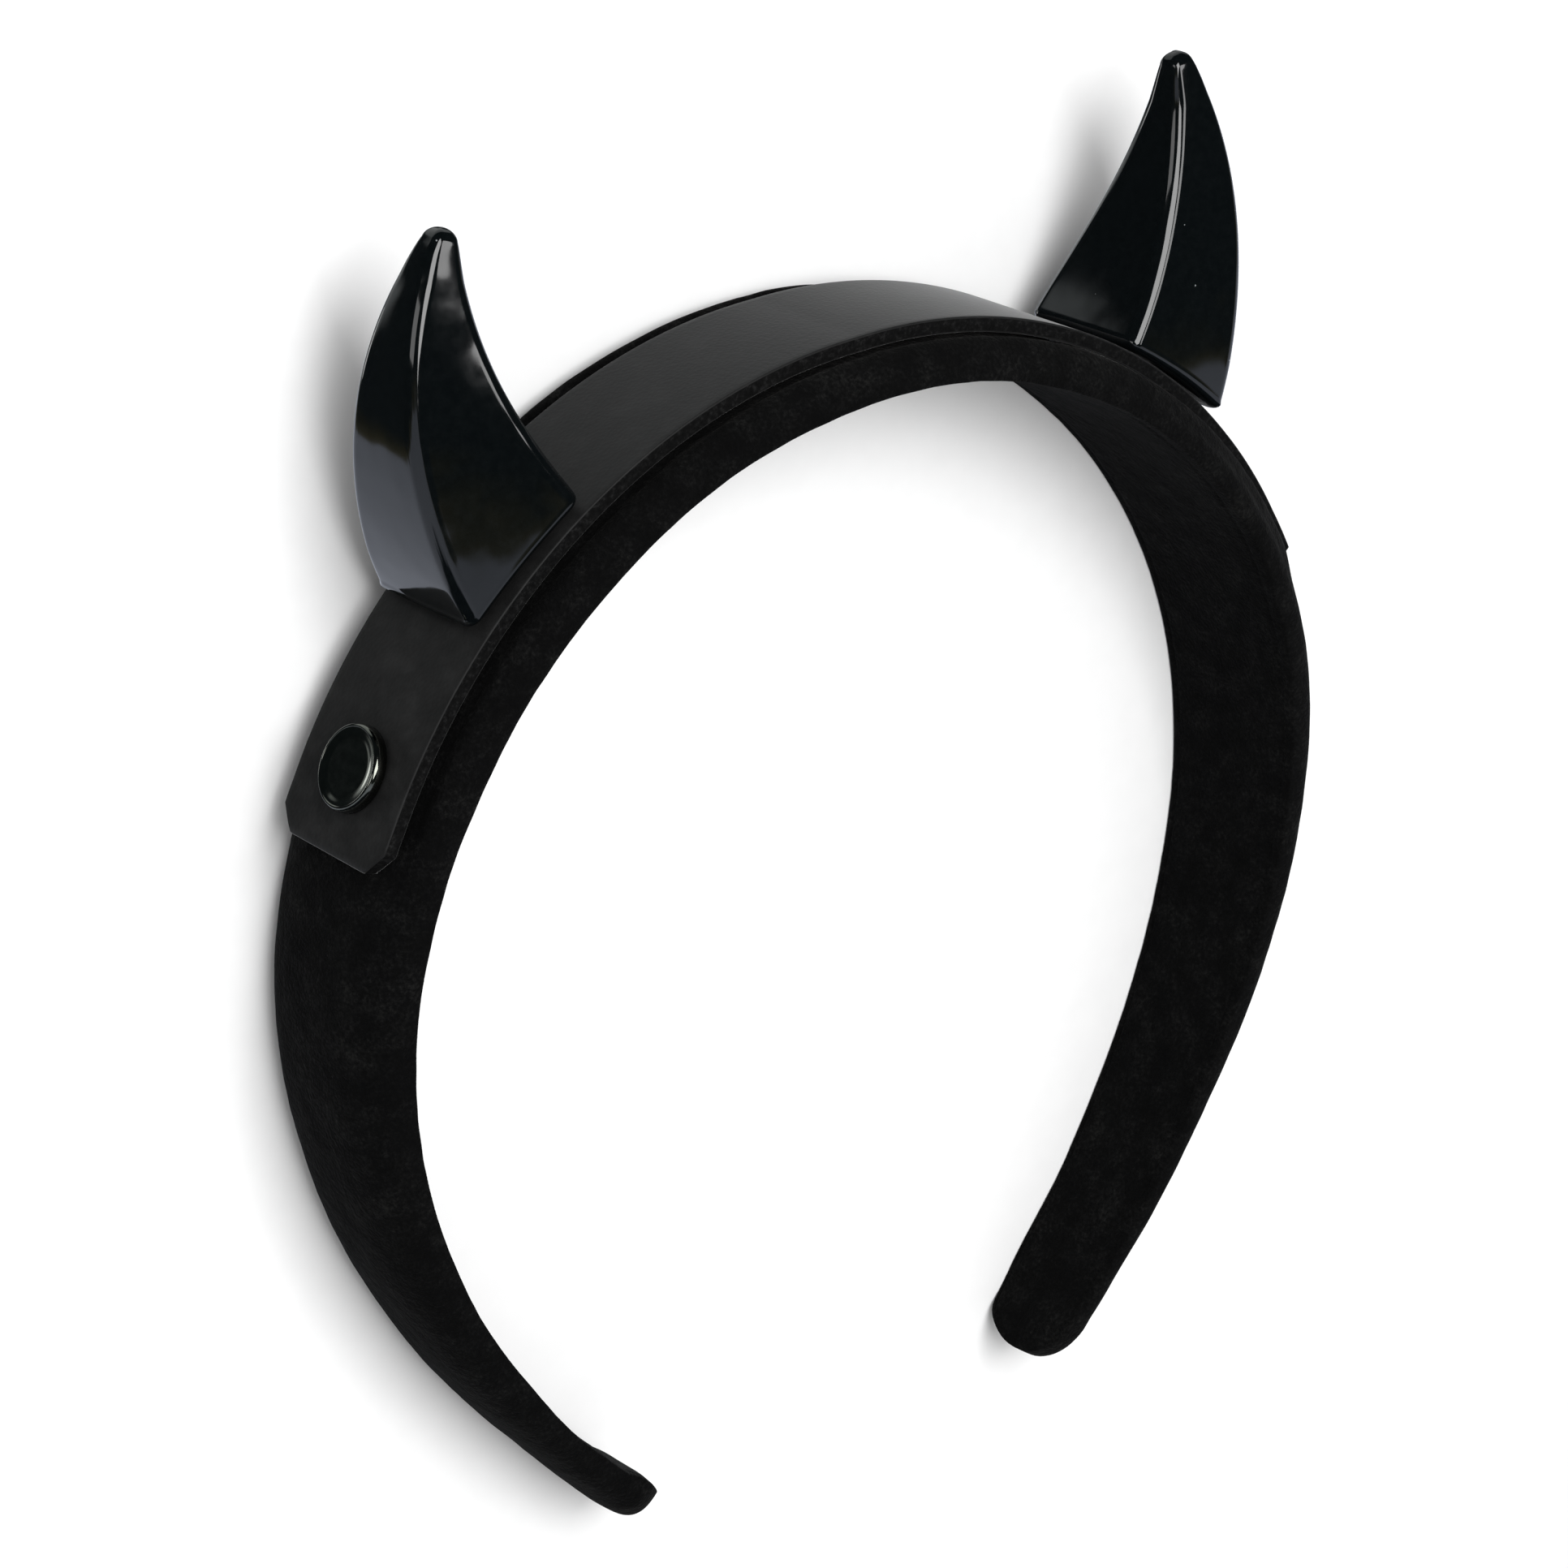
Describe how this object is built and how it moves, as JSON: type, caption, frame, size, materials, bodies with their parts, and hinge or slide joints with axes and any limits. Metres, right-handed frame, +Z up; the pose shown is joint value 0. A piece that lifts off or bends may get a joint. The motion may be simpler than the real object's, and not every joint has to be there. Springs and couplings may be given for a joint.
{
  "type": "horn headband",
  "caption": "Padded velvet headband with a leather strap snapped over its crown and glossy curved horns standing on the strap, worn as a costume headpiece.",
  "frame": {"origin": "middle of the box's bottom face, on the surface that the headband lies on", "axes": "+Z up, from the band's back edge to its front edge; +Y from the leg ends over the crown to the horns; +X towards the wearer's left"},
  "size_m": [0.1434, 0.1678, 0.0286],
  "materials": {
    "velvet": "black short-pile velvet over padding",
    "leather": "matte charcoal leather with bare cut edges",
    "snap_metal": "blackened metal, glossy",
    "horn_plastic": "glossy black moulded plastic"
  },
  "bodies": {
    "root": {"band": "velvet", "strap": "leather", "snap_left": "snap_metal", "snap_right": "snap_metal", "horn_left": "horn_plastic", "horn_right": "horn_plastic"}
  },
  "joints": []
}
